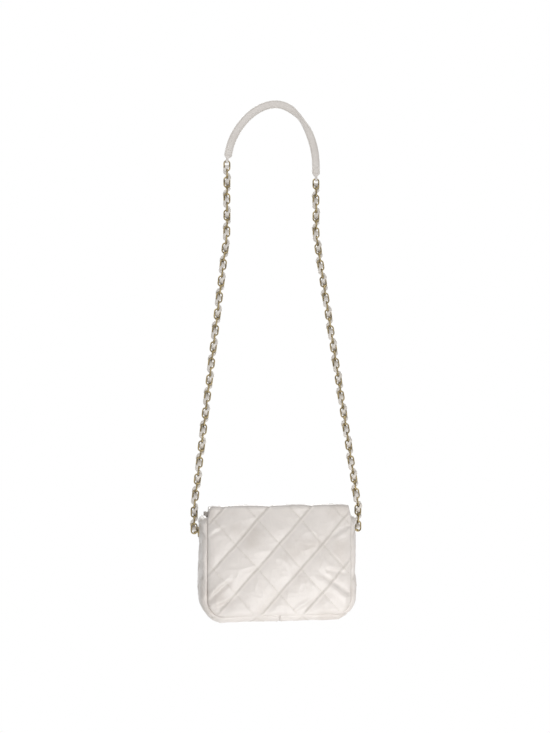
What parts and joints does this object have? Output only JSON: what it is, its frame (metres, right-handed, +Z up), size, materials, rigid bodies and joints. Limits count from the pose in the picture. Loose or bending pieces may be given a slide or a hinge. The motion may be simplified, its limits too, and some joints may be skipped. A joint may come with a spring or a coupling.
{
  "type": "chain shoulder bag",
  "caption": "Small quilted leather shoulder bag with a fold-over flap, hung from a woven chain strap with a leather shoulder piece.",
  "frame": {"origin": "underside of the crest of the shoulder piece, where a shoulder or a peg carries the bag", "axes": "+Z up, +X across the bag from its left strand to its right strand, +Y from the plain back to the side that the flap closes over"},
  "size_m": [0.2294, 0.0762, 0.6892],
  "materials": {
    "ivory_leather": "glossy crumpled ivory leather",
    "ribbon_leather": "soft ivory leather ribbon",
    "wadding": "soft quilting wadding",
    "lining_cloth": "woven lining cloth",
    "gold_metal": "polished antique gold plating",
    "plain_steel": "plain steel",
    "board": "stiff pressed board"
  },
  "bodies": {
    "shoulder": {"chain_top_left": "gold_metal", "chain_top_right": "gold_metal", "ribbon_top_left": "ribbon_leather", "ribbon_top_right": "ribbon_leather", "band_end_left": "ivory_leather", "band_end_right": "ivory_leather", "shoulder_band_front": "ivory_leather", "shoulder_band_back": "ivory_leather"},
    "chain_upper": {"chain_upper_left": "gold_metal", "chain_upper_right": "gold_metal", "ribbon_upper_left": "ribbon_leather", "ribbon_upper_right": "ribbon_leather"},
    "chain_lower": {"keeper_bar_left": "gold_metal", "keeper_bar_right": "gold_metal", "end_link_left": "gold_metal", "end_link_right": "gold_metal", "chain_lower_left": "gold_metal", "chain_lower_right": "gold_metal", "ribbon_lower_left": "ribbon_leather", "ribbon_lower_right": "ribbon_leather"},
    "bag": {"back_panel": "ivory_leather", "back_wadding": "wadding", "back_lining": "lining_cloth", "front_panel": "ivory_leather", "front_wadding": "wadding", "front_lining": "lining_cloth", "mouth_binding": "ivory_leather", "gusset_left": "ivory_leather", "gusset_right": "ivory_leather", "gusset_wadding": "wadding", "gusset_lining": "lining_cloth", "base_board": "board", "slip_pocket": "lining_cloth", "eyelet_left": "gold_metal", "eyelet_right": "gold_metal", "eyelet_washer_left": "gold_metal", "eyelet_washer_right": "gold_metal", "snap_socket": "gold_metal", "snap_socket_washer": "plain_steel"},
    "flap": {"flap_leather": "ivory_leather", "flap_wadding": "wadding", "flap_lining": "ivory_leather", "snap_stud": "gold_metal", "snap_stud_washer": "plain_steel"}
  },
  "joints": [
    {"name": "strap_swing", "type": "hinge", "parent": "shoulder", "child": "chain_upper", "pos_m": [0, 0, -0.12797], "axis": [1, 0, 0], "range_deg": [-75, 75]},
    {"name": "strap_bend", "type": "hinge", "parent": "chain_upper", "child": "chain_lower", "pos_m": [0, 0, -0.34591], "axis": [1, 0, 0], "range_deg": [-90, 90]},
    {"name": "bag_swing", "type": "hinge", "parent": "chain_lower", "child": "bag", "pos_m": [0, 0, -0.5618], "axis": [1, 0, 0], "range_deg": [-110, 110]},
    {"name": "flap_lift", "type": "hinge", "parent": "bag", "child": "flap", "pos_m": [0, -0.0276, -0.5294], "axis": [1, 0, 0], "range_deg": [0, 150]}
  ]
}
